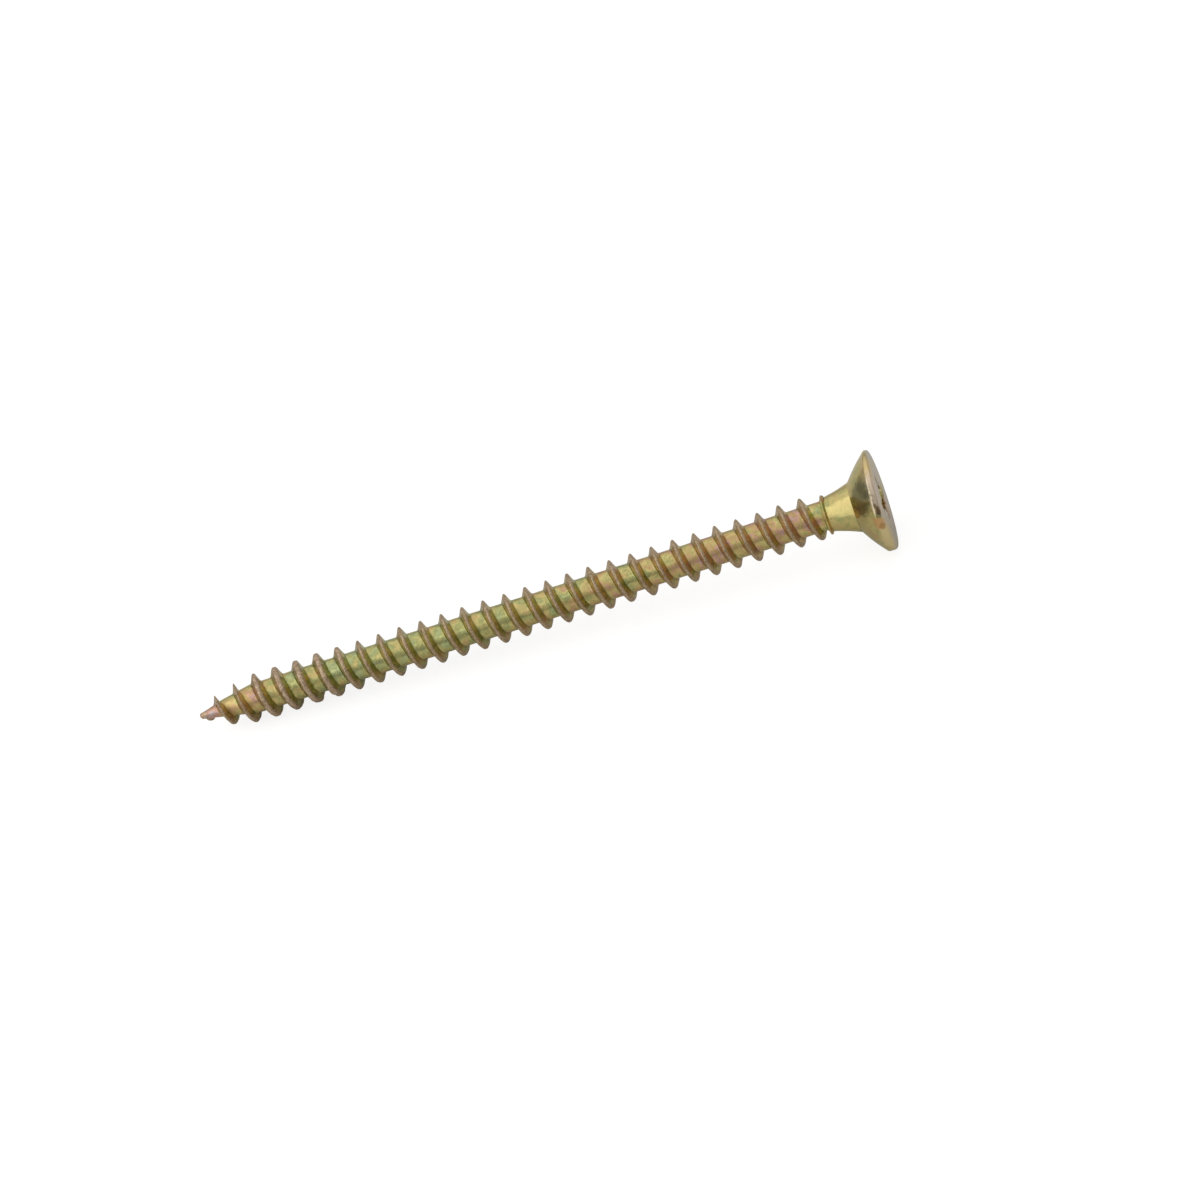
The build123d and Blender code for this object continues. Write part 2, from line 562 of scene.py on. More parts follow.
# stains on the head's rim and face, and one patch of painted shade on the seat
HEAD_STAINS_AND_SHADE = (
    SurfaceMark((-0.25, -0.7, 4.1), 2.2, (0.78, 0.59, 0.28), 0.9, 3.0),
    SurfaceMark((-0.25, -2.9, 3.0), 2.2, (0.84, 0.68, 0.54), 0.85, 3.5),
    SurfaceMark((-0.3, -4.1, -0.7), 2.0, (0.80, 0.65, 0.34), 0.9, 3.0),
    # painted shade: a dark olive patch on the seat's near side, standing in for a dark reflection
    SurfaceMark((-1.35, -2.05, 2.35), 1.75, (0.24, 0.22, 0.11), 0.9, 1.3),
    SurfaceMark((-0.55, -4.1, 0.9), 0.66, (0.72, 0.42, 0.18), 0.9, 1.2),
    SurfaceMark((-0.35, -4.2, 0.6), 0.34, (0.46, 0.26, 0.10), 0.7, 1.0),
    SurfaceMark((-0.3, -3.85, 1.95), 0.50, (0.20, 0.13, 0.06), 0.97, 2.2),
    SurfaceMark((-0.4, -3.65, 2.35), 0.36, (0.34, 0.24, 0.12), 0.9, 2.2),
    SurfaceMark((0.0, 0.5, -1.6), 1.5, (0.74, 0.54, 0.46), 0.6, 5.0),
)


@dataclass(frozen=True)
class Effects:
    """The node groups that the finishes share."""

    hues: NodeTree
    drift: NodeTree
    wear_and_shade: NodeTree
    surface_mark: NodeTree


@dataclass(frozen=True)
class PlatedFinish:
    """The finish of one region: yellow passivated zinc over cold-formed steel."""

    name: str
    effects: Effects
    rib_wear_and_shade: bool = False
    smoothest: float = 0.22
    roughest: float = 0.38
    worn_rough: float = 0.44
    dents: float = 0.6
    contrast: float = 1.0
    dulling: Triple | None = None
    dull_depth: tuple[float, float] = (-0.22, -0.04)
    dull_rough: float = 0.36
    surface_marks: tuple[SurfaceMark, ...] = ()

    def build(self) -> Material:
        """Builds the material.

        Returns:
            The material, ready for a piece.
        """
        made = bpy.data.materials.new(self.name)
        graph = fresh_graph(made)
        where = graph.node("TexCoord").outputs["Object"]
        place = graph.node("VectorMath", {0: where, 3: 1 / MM}, operation="SCALE").outputs["Vector"]
        drift = graph.group(self.effects.drift, {"Position": place})
        warmth = drift.outputs["Warmth"]
        hues = graph.group(
            self.effects.hues, {"Position": place, "Warmth": warmth, "Contrast": self.contrast}
        )
        colour, height = hues.outputs["Color"], hues.outputs["Height"]
        rough = graph.range(hues.outputs["Tone"], 0.3, 0.7, self.smoothest, self.roughest)
        if self.rib_wear_and_shade:
            masks = {
                name.capitalize(): graph.node("Attribute", attribute_name=name).outputs["Fac"]
                for name in ("rib", "root", "seam", "coarse")
            }
            wear_and_shade = graph.group(self.effects.wear_and_shade, {"Color": colour, "Position": place, **masks})
            colour = wear_and_shade.outputs["Color"]
            worn_and_lit = wear_and_shade.outputs["Worn"]
            rough = graph.math("MAXIMUM", rough, graph.math("MULTIPLY", worn_and_lit, self.worn_rough))
            height = graph.math("ADD", height, wear_and_shade.outputs["Height"])
        if self.dulling:
            colour, rough = self.dull_face(graph, place, colour, rough)
        # stains, and on the head one patch of painted shade, laid over the colour
        for surface_mark in self.surface_marks:
            mask = graph.group(
                self.effects.surface_mark,
                {
                    "Position": place,
                    "Centre": surface_mark.centre,
                    "Reach": surface_mark.reach,
                    "Strength": surface_mark.strength,
                    "Squash": (surface_mark.squash, 1.0, 1.0),
                },
            ).outputs["Mask"]
            colour = graph.mix(mask, colour, (*surface_mark.colour, 1.0))
        bump = graph.node(
            "Bump", {"Height": height, "Strength": self.dents, "Distance": 0.02 * MM}
        ).outputs["Normal"]
        shader = graph.node(
            "BsdfPrincipled",
            {"Base Color": colour, "Roughness": rough, "Metallic": 1.0, "Normal": bump},
        )
        graph.node("OutputMaterial", {"Surface": shader.outputs[0]})
        return made

    def dull_face(
        self,
        graph: Graph,
        place: NodeSocket,
        colour: NodeSocket,
        rough: NodeSocket,
    ) -> tuple[NodeSocket, NodeSocket]:
        """Greys the head's flat face, apart from a few patches that stay yellow.

        Args:
            graph: the material's graph.
            place: position in millimetres.
            colour: the colour so far.
            rough: the roughness so far.

        Returns:
            The new colour and roughness.
        """
        along = graph.node("SeparateXYZ", {0: place}).outputs["X"]
        face = graph.range(along, *self.dull_depth, 0.0, 1.0)
        patch = graph.range(graph.noise(place, 1.1, 3.0, 0.65), 0.36, 0.60, 1.0, 0.35)
        share = graph.math("MULTIPLY", face, patch)
        colour = graph.mix(share, colour, (*self.dulling, 1.0))
        rough = graph.math("MAXIMUM", rough, graph.math("MULTIPLY", face, self.dull_rough))
        return colour, rough


# ---------------------------------------------------------------- threaded shank


@dataclass
class ThreadedShank:
    """The core, the gimlet point, the rolled thread and the ring it runs out into."""

    tip: float
    shoulder: float
    ring_foot: float
    core_radius: float
    crest_radius: float
    pitch: float = 1.8459 * MM
    nose_radius: float = 0.30 * MM
    nose_length: float = 0.26 * MM
    flank_angle: float = 25.0
    crest_half: float = 0.085 * MM
    crest_round: float = 0.20 * MM
    root_round: float = 0.12 * MM
    full_height_end: float = -5.86 * MM
    full_height_end_angle: float = 200.0
    upper_side: float = 50.0
    upper_shave: float = 0.15 * MM
    shave_fades: tuple[float, float] = (0.2 * MM, 2.4 * MM)
    pinch_fades: tuple[float, float] = (3.6 * MM, 6.6 * MM)
    core_ripple: Ripple = Ripple(0.8 * MM, 1.6, 3.0, 0.012 * MM)
    lumps: Ripple = Ripple(0.35 * MM, 3.0, 11.0)
    grain: Ripple = Ripple(0.2 * MM, 6.0, 23.0)
    sway: Ripple = Ripple(1.1 * MM, 1.2, 31.0)
    sway_height: float = 0.06 * MM
    seam_depth: float = 0.016 * MM
    worn_tip: tuple[float, float] = (0.5 * MM, 1.3 * MM)
    ring_width: float = 0.40 * MM
    ring_land: float = 0.11 * MM
    ring_radius: float = 1.69 * MM
    neck_root_radius: float = 1.47 * MM
    rough_turns: tuple[float, float] = (-55.6 * MM, -47.0 * MM)
    steps: int = 80
    ramp: tuple[tuple[float, float], ...] = (
        (0.30, 0.30),
        (0.45, 0.42),
        (0.70, 0.63),
        (1.70, 1.27),
        (2.55, 1.58),
        (3.50, 1.74),
        (4.45, 1.965),
        (5.30, 2.03),
        (6.50, 1.99),
    )
    sections: tuple[float, ...] = (
        *(0.925, 0.78, 0.64, 0.54, 0.47, 0.42, 0.385),
        *(0.34, 0.28, 0.22, 0.165, 0.12, 0.075, 0.03),
    )

    def core_at(self, x: float) -> float:
        """The core's radius at a place along the axis."""
        slope = (self.core_radius - self.nose_radius) / (self.shoulder - self.tip)
        cone = self.nose_radius + (x - self.tip) * slope
        return max(soft_min(cone, self.core_radius, 0.06 * MM), 0.05 * MM)

    def crest_at(self, x: float) -> float:
        """The radius that the thread's crest reaches at a place along the axis."""
        from_tip = (x - self.tip) / MM
        marks = self.ramp
        if from_tip <= marks[0][0]:
            return marks[0][1] * MM
        if from_tip < marks[-1][0]:
            for (near, low), (far, high) in zip(marks, marks[1:]):
                if from_tip < far:
                    return (low + (high - low) * (from_tip - near) / (far - near)) * MM
        ring_middle = self.ring_foot + self.ring_width / 2
        fall = (x - self.full_height_end) / (ring_middle - self.full_height_end)
        return self.crest_radius - max(fall, 0.0) * (self.crest_radius - self.ring_radius)

    def ring_at(self, x: float) -> float:
        """The radius of the low ring at a place along the axis."""
        middle = self.ring_foot + self.ring_width / 2
        half, land = self.ring_width / 2, self.ring_land / 2
        away = abs(x - middle)
        foot = self.neck_root_radius if x > middle else self.core_radius
        share = min(max((half - away) / (half - land), 0.0), 1.0)
        return foot + (self.ring_radius - foot) * share

    def phase_of(self, x: float, angle: float) -> tuple[float, float]:
        """Where a point stands across the thread.

        Args:
            x: its place along the axis.
            angle: its angle around the axis.

        Returns:
            Its distance from the nearest crest line, and that line's place along the axis.
        """
        lead = (angle - radians(self.full_height_end_angle)) / tau * self.pitch
        crest_line = self.full_height_end + lead
        turns = round((x - crest_line) / self.pitch)
        nearest = crest_line + turns * self.pitch
        return x - nearest, nearest

    def radius_at(self, x: float, angle: float) -> tuple[float, float, float, float, float]:
        """The finished surface's radius and its four masks.

        Args:
            x: place along the axis.
            angle: angle around the axis.

        Returns:
            The radius, how far up the rib the point is, how near a root line it is, how near the
            rolled seam, and whether this turn is one of the coarse ones.
        """
        across, line = self.phase_of(x, angle)
        upper = 0.5 + 0.5 * cos(angle - radians(self.upper_side))
        from_tip = x - self.tip
        core = self.core_at(x)
        core -= self.upper_shave * upper * upper * (1 - smooth_step(*self.shave_fades, from_tip))
        core += self.core_ripple.at(x, angle)
        low, high = self.rough_turns
        rough = smooth_step(low, low + 0.9 * MM, line)
        rough *= 1 - smooth_step(high - MM, high + MM, line)
        pinch = upper * (1 - smooth_step(*self.pinch_fades, line - self.tip))
        lumps, grain, sway = (kind.at(line, angle) for kind in (self.lumps, self.grain, self.sway))
        top = self.crest_at(line)
        top += self.sway_height * sway * smooth_step(0.3 * MM, 0.7 * MM, top - core)
        top += (0.012 + 0.05 * rough) * MM * lumps + (0.006 + 0.03 * rough) * MM * grain
        half = self.crest_half * (1 + 0.3 * lumps) + rough * (0.09 + 0.05 * grain) * MM
        half *= 1 - 0.6 * pinch
        lean = tan(radians(self.flank_angle)) * (1 - 0.32 * pinch)
        rib = soft_min(top, top - (abs(across) - half) / lean, self.crest_round * (1 - 0.5 * pinch))
        seam = 1 - smooth_step(0.01 * MM, 0.05 * MM, abs(across - 0.03 * MM * sway))
        seam *= 1 - rough
        rib -= self.seam_depth * seam
        radius = soft_max(core, rib, self.root_round)
        height = max(top - core, 0.02 * MM)
        up = min(max((radius - core) / height, 0.0), 1.0)
        # the tip-side flank counts as further up the rib, so it takes the crest's pale worn colour:
        # partly wear, partly painted highlight on the flank that faces the light
        up += 0.12 * (1 - smooth_step(-0.12 * MM, 0.02 * MM, across)) * smooth_step(0.05, 0.3, up)
        up = max(up, 0.62 * (1 - smooth_step(*self.worn_tip, from_tip)))
        if x > self.ring_foot - 0.2 * MM:
            ring = self.ring_at(x)
            up *= smooth_step(-0.01 * MM, 0.05 * MM, radius - ring)
            radius = soft_max(radius, ring, 0.03 * MM)
        foot = half + height * lean
        # the root mask, which the material paints as a dark line of shade, is wider on each rib's
        # tip side
        root_shade_width = (0.09 if across > 0 else 0.15) * MM
        near_root = 1 - smooth_step(0.0, root_shade_width, abs(abs(across) - foot + 0.02 * MM))
        tall = smooth_step(0.1 * MM, 0.4 * MM, height)
        return radius, min(up, 1.0), near_root * tall, seam * tall, rough

    def build(self) -> Object:
        """Models the shank.

        Returns:
            The piece.
        """
        mesh = bmesh.new()
        first_turn = -int((self.full_height_end - self.tip) / self.pitch) - 2
        start_angle = radians(self.full_height_end_angle)
        middle = self.full_height_end + first_turn * self.pitch
        rows = [-s * MM for s in self.sections] + [0.0] + [s * MM for s in reversed(self.sections)]
        previous = None
        for row in rows:
            spot = Vector((middle + row, cos(start_angle) * MM, sin(start_angle) * MM))
            vert = mesh.verts.new(spot)
            if previous:
                mesh.edges.new((previous, vert))
            previous = vert
        bmesh.ops.spin(
            mesh,
            geom=mesh.verts[:] + mesh.edges[:],
            cent=(0, 0, 0),
            axis=(1, 0, 0),
            dvec=(self.pitch / self.steps, 0, 0),
            angle=tau,
            steps=self.steps,
            use_merge=False,
        )
        turns, wanted = 1, 3 - first_turn
        while turns < wanted:
            copied = bmesh.ops.duplicate(mesh, geom=mesh.verts[:] + mesh.edges[:] + mesh.faces[:])
            moved = [part for part in copied["geom"] if isinstance(part, BMVert)]
            bmesh.ops.translate(mesh, verts=moved, vec=(turns * self.pitch, 0, 0))
            turns *= 2
        bmesh.ops.remove_doubles(mesh, verts=mesh.verts[:], dist=2 * WELD)
        nose_start = self.tip + self.nose_length
        ring_end = self.ring_foot + self.ring_width
        cut_across(mesh, nose_start, side=-1, clear=True)
        cut_across(mesh, ring_end, clear=True)
        ring_middle = self.ring_foot + self.ring_width / 2
        land, bend = self.ring_land / 2, 0.03 * MM
        for place in (self.ring_foot - 2 * bend, self.ring_foot):
            cut_across(mesh, place)
        for away in (-land - bend, -land, 0.0, land, land + bend):
            cut_across(mesh, ring_middle + away)
        masks = [mesh.verts.layers.float.new(name) for name in ("rib", "root", "seam", "coarse")]
        for vert in mesh.verts:
            angle = atan2(vert.co.z, vert.co.y)
            radius, *values = self.radius_at(vert.co.x, angle)
            vert.co.y, vert.co.z = radius * cos(angle), radius * sin(angle)
            for mask, value in zip(masks, values):
                vert[mask] = value
        self.close_end(mesh, nose_start, -self.nose_length, 5)
        self.close_end(mesh, ring_end, 0.0, 1)
        LOG.info("threaded shank: %d faces", len(mesh.faces))
        return finish_piece(mesh, "threaded_shank")

    def close_end(self, mesh: BMesh, place: float, bulge: float, rings: int) -> None:
        """Closes an open end with a rounded or flat cap.

        Args:
            mesh: the shank.
            place: the open end's place along the axis.
            bulge: how far the cap's middle stands off it.
            rings: rings of faces in the cap.
        """
        open_edges = [edge for edge in mesh.edges if edge.is_boundary]
        edges = [edge for edge in open_edges if abs(edge.verts[0].co.x - place) < 10 * WELD]
        for ring in range(1, rings + 1):
            made = bmesh.ops.extrude_edge_only(mesh, edges=edges)["geom"]
            verts = [part for part in made if isinstance(part, BMVert)]
            fresh = set(verts)
            edges = [p for p in made if isinstance(p, BMEdge) and fresh.issuperset(p.verts)]
            before = (ring - 1) / (rings + 1) * pi / 2
            now = ring / (rings + 1) * pi / 2
            for vert in verts:
                vert.co.x = place + bulge * sin(now)
                shrink = cos(now) / cos(before)
                vert.co.y *= shrink
                vert.co.z *= shrink
        bmesh.ops.pointmerge(mesh, verts=verts, merge_co=(place + bulge, 0, 0))

    def dress(self, piece: Object, finish: PlatedFinish) -> None:
        """Gives the shank its finish and its place in the frame."""
        piece.data.materials.append(finish.build())
        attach(piece, "root")
        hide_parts("shank_core", "thread", "point")


# ---------------------------------------------------------------- neck and head


@dataclass
class Neck:
    """The plain cone between the ring and the head."""

    foot: float
    top: float
    foot_radius: float
    top_radius: float
    top_shift: Vector
    hollow: float = 0.05 * MM
    buried: float = 0.05 * MM
    buried_step: float = 0.02 * MM
    underside_radius: float = 0.6 * MM
    ripple: Ripple = Ripple(1.2 * MM, 1.3, 7.0, 0.012 * MM)
    rings: int = 16
    spokes: int = 144

    def build(self) -> Object:
        """Models the neck.

        Returns:
            The piece.
        """
        skin = RingSkin(self.spokes)
        under = self.foot - self.buried
        skin.place(lambda spoke: skin.on_circle(under, self.underside_radius, spoke))
        bottom = skin.edges
        skin.round_ring(under, self.foot_radius - self.buried_step)
        skin.round_ring(self.foot, self.foot_radius)
        for ring in range(1, self.rings + 1):
            share = ring / self.rings
            x = self.foot + (self.top - self.foot) * share
            radius = self.foot_radius + (self.top_radius - self.foot_radius) * share
            radius -= self.hollow * sin(pi * share)

            def spot(spoke: int, x: float = x, radius: float = radius) -> Triple:
                """One point of the cone, a little uneven."""
                uneven = self.ripple.at(x, tau * spoke / self.spokes)
                point = Vector(skin.on_circle(x, radius + uneven * sin(pi * share), spoke))
                return tuple(point + self.top_shift * share)

            skin.grow(spot)
        skin.round_ring(self.top + self.buried, self.top_radius - self.buried_step)
        bmesh.ops.translate(skin.mesh, verts=skin.verts, vec=self.top_shift)
        skin.close()
        edges = [edge for edge in bottom if edge.is_valid]
        bmesh.ops.edgeloop_fill(skin.mesh, edges=edges)
        LOG.info("neck: %d faces", len(skin.mesh.faces))
        return finish_piece(skin.mesh, "neck_cone")

    def dress(self, piece: Object, finish: PlatedFinish) -> None:
        """Gives the neck its finish and its place in the frame."""
        piece.data.materials.append(finish.build())
        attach(piece, "root")
        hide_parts("neck")


@dataclass
class CrossRecess:
    """A cross recess of type Z, size 2: four wings, a pilot hole and four fine notches."""

    span: float = 4.4 * MM
    wing_width: float = 0.95 * MM
    wing_draft: float = 3.0
    wing_taper: float = 26.5
    wing_depth: float = 1.55 * MM
    depth: float = 2.2 * MM
    pilot_diameter: float = 2.3 * MM
    pilot_end_diameter: float = 0.5 * MM
    notch_span: float = 3.0 * MM
    notch_width: float = 0.3 * MM
    corner: float = 0.09 * MM
    turn: float = 73.0
    side_points: int = 16

    @property
    def spokes(self) -> int:
        """Points in the outline."""
        return 8 * (self.side_points + 1)

    def eighth(self, depth: float) -> list[Vector]:
        """The outline from a wing's middle to a notch's middle, at a depth below the face.

        Args:
            depth: how far below the face.

        Returns:
            Points in the plane, with the wing along the first coordinate.
        """
        reach = self.span / 2 - depth * tan(radians(self.wing_taper))
        side = self.wing_width / 2 - depth * tan(radians(self.wing_draft))
        pilot = self.pilot_diameter / 2
        notch_reach = self.notch_span / 2 - depth * tan(radians(self.wing_draft))
        notch_side = self.notch_width / 2
        quarter = pi / 4
        round_off = self.corner
        points = [Vector((reach, side * share)) for share in (0.0, 0.4)]
        for step in range(4):
            bend = step / 3 * pi / 2
            points.append(
                Vector((reach - round_off * (1 - cos(bend)), side - round_off * (1 - sin(bend))))
            )
        inner = sqrt(pilot * pilot - side * side)
        for share in (0.33, 0.66, 0.95, 1.0):
            points.append(Vector((reach - round_off + (inner - reach + round_off) * share, side)))
        low = atan2(side, inner)
        high = quarter - atan2(notch_side, sqrt(pilot * pilot - notch_side * notch_side))
        for share in (0.33, 0.66, 1.0):
            bend = low + (high - low) * share
            points.append(Vector((pilot * cos(bend), pilot * sin(bend))))
        out = Vector((cos(quarter), sin(quarter)))
        aside = Vector((sin(quarter), -cos(quarter))) * notch_side
        start = sqrt(pilot * pilot - notch_side * notch_side)
        for share in (0.5, 0.92):
            points.append(out * (start + (notch_reach - start) * share) + aside)
        points.append(out * notch_reach + aside * 0.75)
        points.append(out * notch_reach)
        return points

    def outline(self, depth: float) -> list[Vector]:
        """The whole outline at a depth below the face, as one closed ring of points.

        Args:
            depth: how far below the face.

        Returns:
            Points in the head's plane, Y first and Z second.
        """
        part = self.eighth(depth)
        mirrored = [Vector((point.y, point.x)) for point in reversed(part[1:-1])]
        quarter = part + mirrored
        points = []
        for number in range(4):
            turned = Matrix.Rotation(radians(self.turn + 90 * number), 2)
            points += [turned @ point for point in quarter]
        return points


@dataclass
class Head:
    """The countersunk head with its cross recess."""

    face: float
    crease: float
    radius: float
    crease_radius: float
    recess: CrossRecess = field(default_factory=CrossRecess)
    rim_lowest: float = 0.35 * MM
    rim_highest: float = 0.82 * MM
    rim_thin_side: float = 50.0
    face_round_thin: float = 0.24 * MM
    face_round_thick: float = 0.28 * MM
    seat_round: float = 0.27 * MM
    seat_hollow: float = 0.06 * MM
    short_of_full: float = 0.11 * MM
    bulge: float = 0.13 * MM
    far_bulge: float = 0.06 * MM
    off_centre: float = 0.12 * MM
    off_centre_side: float = 225.0
    bruise_side: float = 147.0
    bruise_width: float = 5.0
    bruise_depth: float = 0.05 * MM
    rim_uneven: float = 0.012 * MM
    rim_ripple: Ripple = Ripple(MM, 2.5, 5.0)
    mouth_round: float = 0.07 * MM
    inner_circle: float = 2.75 * MM
    outer_circles: tuple[float, float] = (3.2 * MM, 3.6 * MM)
    corner_steps: int = 6
    seat_steps: int = 12

    @property
    def shift(self) -> Vector:
        """How far the whole head stands off the shank's axis."""
        side = radians(self.off_centre_side)
        return Vector((0, cos(side), sin(side))) * self.off_centre

    def build(self) -> Object:
        """Models the head, from the pilot hole's bottom out over the face and down to the neck.

        Returns:
            The piece.
        """
        recess = self.recess
        first = recess.outline(0.0)
        spokes = len(first)
        skin = RingSkin(spokes)
        floor_ring = recess.outline(recess.wing_depth)
        pilot = recess.pilot_diameter / 2
        bottom = recess.pilot_end_diameter / 2

        def inward(spoke: int, radius: float, depth: float) -> Triple:
            """A point straight inwards of the recess's outline at the wings' floor."""
            point = floor_ring[spoke].normalized() * radius
            return self.face - depth, point.x, point.y

        skin.place(lambda spoke: inward(spoke, bottom * 0.5, recess.depth + 0.02 * MM))
        start = skin.edges
        skin.grow(lambda spoke: inward(spoke, bottom, recess.depth))
        for share in (0.5, 1.0):
            depth = recess.depth + (recess.wing_depth - recess.depth) * share
            radius = bottom + (pilot - bottom) * share
            skin.grow(lambda spoke: inward(spoke, radius * 0.999, depth))
        for share in (0.0, 0.25, 0.5, 0.75, 0.93, 1.0):
            depth = recess.wing_depth * (1 - share)
            ring = recess.outline(depth)
            mouth = skin.grow(lambda spoke: (self.face - depth, ring[spoke].x, ring[spoke].y))
        for share in (0.12, 0.4, 0.7, 1.0):
            skin.grow(lambda spoke: self.between(first, spoke, self.inner_circle, share))

        def around(spoke: int, x: float, radius: float) -> Triple:
            """A point on a circle, at the spoke's own even angle."""
            angle = radians(recess.turn) + tau * spoke / spokes
            return x, radius * cos(angle), radius * sin(angle)

        for radius in self.outer_circles:
            skin.grow(lambda spoke: around(spoke, self.face, radius))
        profiles = [
            self.rim_profile(radians(recess.turn) + tau * spoke / spokes)
            for spoke in range(spokes)
        ]
        for ring in range(len(profiles[0])):
            skin.grow(lambda spoke: around(spoke, *profiles[spoke][ring]))
        skin.grow(lambda spoke: around(spoke, self.crease, self.crease_radius * 0.5))
        skin.close()
        bmesh.ops.edgeloop_fill(skin.mesh, edges=[edge for edge in start if edge.is_valid])
        bmesh.ops.translate(skin.mesh, verts=skin.mesh.verts[:], vec=self.shift)
        bmesh.ops.bevel(
            skin.mesh,
            geom=[edge for edge in mouth if edge.is_valid],
            offset=self.mouth_round,
            offset_type="OFFSET",
            segments=3,
            profile=0.5,
            affect="EDGES",
            material=-1,
            clamp_overlap=True,
        )
        LOG.info("head: %d faces, %d spokes", len(skin.mesh.faces), spokes)
        return finish_piece(skin.mesh, "countersunk_head", radians(35))

    def between(
        self, outline: list[Vector], spoke: int, circle: float, share: float
    ) -> Triple:
        """A point of the face between the recess's mouth and a circle around it.

        Args:
            outline: the mouth.
            spoke: which spoke.
            circle: the circle's radius.
            share: 0 at the mouth, 1 on the circle.

        Returns:
            The point.
        """
        angle = radians(self.recess.turn) + tau * spoke / len(outline)
        far = Vector((circle * cos(angle), circle * sin(angle)))
        point = outline[spoke].lerp(far, share)
        return self.face, point.x, point.y

    def rim_profile(self, angle: float) -> list[tuple[float, float]]:
        """The outline of rim and seat on one side of the head.

        The blank was upset a little unevenly: the rim is a rounded edge on one side and a straight
        band on the other, where it also stands out a little further.

        Args:
            angle: the side, around the axis.

        Returns:
            Places along the axis with their radii, from the flat face to the crease.
        """
        thin = 0.5 + 0.5 * cos(angle - radians(self.rim_thin_side))
        full = 0.5 + 0.5 * cos(angle - radians(self.off_centre_side))
        radius = self.radius - self.short_of_full
        radius += self.bulge * full**14 + self.far_bulge * (1 - full) ** 8
        radius -= self.rim_uneven * (0.5 + 0.5 * self.rim_ripple.at(0.0, angle))
        away = (angle - radians(self.bruise_side) + pi) % tau - pi
        radius -= self.bruise_depth * exp(-((away / radians(self.bruise_width)) ** 2))
        height = self.rim_highest + (self.rim_lowest - self.rim_highest) * thin
        rounding = self.face_round_thick + (self.face_round_thin - self.face_round_thick) * thin
        corner = Vector((self.face - height, radius))
        crease = Vector((self.crease, self.crease_radius))
        down = (crease - corner).normalized()
        lean = atan2(-down.y, -down.x)
        seat_round = min(self.seat_round, (height - rounding) * 0.98 / tan(lean / 2))
        points = []
        shares = [step / self.corner_steps for step in range(self.corner_steps + 1)]
        for share in shares:
            bend = share * pi / 2
            x = self.face - rounding * (1 - cos(bend))
            points.append((x, radius - rounding * (1 - sin(bend))))
        start_x = corner.x + seat_round * tan(lean / 2)
        for share in shares:
            bend = lean * share
            x = start_x - seat_round * sin(bend)
            points.append((x, radius - seat_round * (1 - cos(bend))))
        start = Vector(points[-1])
        inward = Vector((-down.y, down.x))
        for step in range(1, self.seat_steps + 1):
            share = step / self.seat_steps
            spot = start.lerp(crease, share) - inward * self.seat_hollow * sin(pi * share)
            points.append((spot.x, spot.y))
        return points

    def dress(self, piece: Object, finish: PlatedFinish) -> None:
        """Gives the head its finish and its place in the frame."""
        piece.data.materials.append(finish.build())
        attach(piece, "root")
        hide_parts("head")


# ---------------------------------------------------------------- studio


@dataclass
class Camera:
    """The camera, standing off the screw's side, leaning towards the head and rolled."""

    lens: float = 199.52
    distance: float = 546.1 * MM
    lean: float = 8.2
    lift: float = 40.0
    roll: float = 17.767
    head_ahead: float = 24.666 * MM
    head_above: float = 0.977 * MM

    def build(self) -> Object:
        """Makes the camera and makes it the scene's.

        Returns:
            The camera.
        """
        lean, lift, roll = radians(self.lean), radians(self.lift), radians(self.roll)
        outward = Vector((0, -cos(lift), sin(lift)))
        back = Vector((1, 0, 0)) * sin(lean) + outward * cos(lean)
        along = (Vector((1, 0, 0)) - back * sin(lean)).normalized()
        upward = back.cross(along)
        right = along * cos(roll) - upward * sin(roll)
        top = along * sin(roll) + upward * cos(roll)
        aim = -along * self.head_ahead - upward * self.head_above
        turned = Matrix((right, top, back)).transposed().to_4x4()
        data = bpy.data.cameras.new("studio_camera")
        data.lens = self.lens
        data.sensor_width = 36.0
        data.clip_start = 0.01
        data.clip_end = 50.0
        camera = bpy.data.objects.new("studio_camera", data)
        camera.matrix_world = Matrix.Translation(aim + back * self.distance) @ turned
        bpy.context.scene.collection.objects.link(camera)
        bpy.context.scene.camera = camera
        return camera


